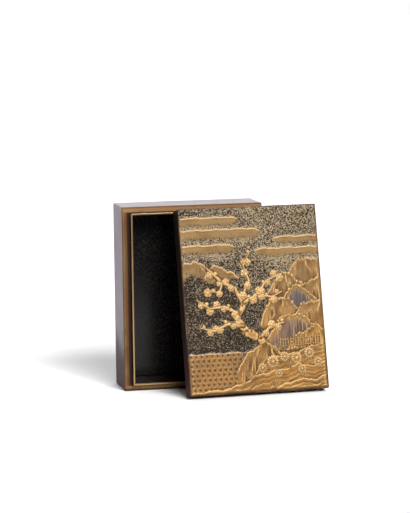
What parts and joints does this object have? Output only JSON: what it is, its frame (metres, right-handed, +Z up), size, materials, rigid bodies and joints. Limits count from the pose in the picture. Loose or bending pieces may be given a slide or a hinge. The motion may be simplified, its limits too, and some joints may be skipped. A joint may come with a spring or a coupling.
{
  "type": "ink box",
  "caption": "Small lacquered writing box on its side with its flush lid leaning on the mouth; loose board, inkstone and water dropper inside.",
  "frame": {"origin": "middle of the patch of floor under the body, at floor height", "axes": "+Z up along the box's long side, -Y out of the mouth towards the leaning lid, +X to the right seen from the front"},
  "size_m": [0.1585, 0.0916, 0.15],
  "materials": {
    "outer_lacquer": "polished dark lacquer with a gold ledge at the mouth",
    "inner_lacquer": "polished black lacquer with sparse gold sprinkles",
    "flake_lacquer": "dense gold flakes in clear lacquer on black",
    "gold_relief": "raised lacquer polished with gold powder",
    "gilt_metal": "satin gilt strip",
    "slate": "honed dark slate",
    "aged_silver": "aged, softly polished metal sheet"
  },
  "bodies": {
    "box_body": {"base_board": "outer_lacquer", "long_wall_left": "outer_lacquer", "long_wall_right": "outer_lacquer", "short_wall_upper": "outer_lacquer", "short_wall_lower": "outer_lacquer", "liner_left": "inner_lacquer", "liner_right": "inner_lacquer", "liner_upper": "inner_lacquer", "liner_lower": "inner_lacquer", "mouth_lip": "gilt_metal"},
    "lid": {"lid_board": "flake_lacquer", "lid_wall_left": "outer_lacquer", "lid_wall_right": "outer_lacquer", "lid_wall_upper": "outer_lacquer", "lid_wall_lower": "outer_lacquer"},
    "fitted_board": {"loose_board": "inner_lacquer"},
    "stone": {"inkstone": "slate"},
    "dropper": {"dropper_bowl": "aged_silver", "dropper_cover": "aged_silver"}
  },
  "joints": [
    {"name": "lid_lift", "type": "slide", "parent": "box_body", "child": "lid", "axis": [0.0476, -0.9732, 0.225], "range_m": [0, 0.08]},
    {"name": "board_lift", "type": "slide", "parent": "box_body", "child": "fitted_board", "axis": [0, -1, 0], "range_m": [0, 0.008]},
    {"name": "inkstone_lift", "type": "slide", "parent": "fitted_board", "child": "stone", "axis": [0, -1, 0], "range_m": [0, 0.012]},
    {"name": "dropper_lift", "type": "slide", "parent": "fitted_board", "child": "dropper", "axis": [0, -1, 0], "range_m": [0, 0.012]}
  ]
}
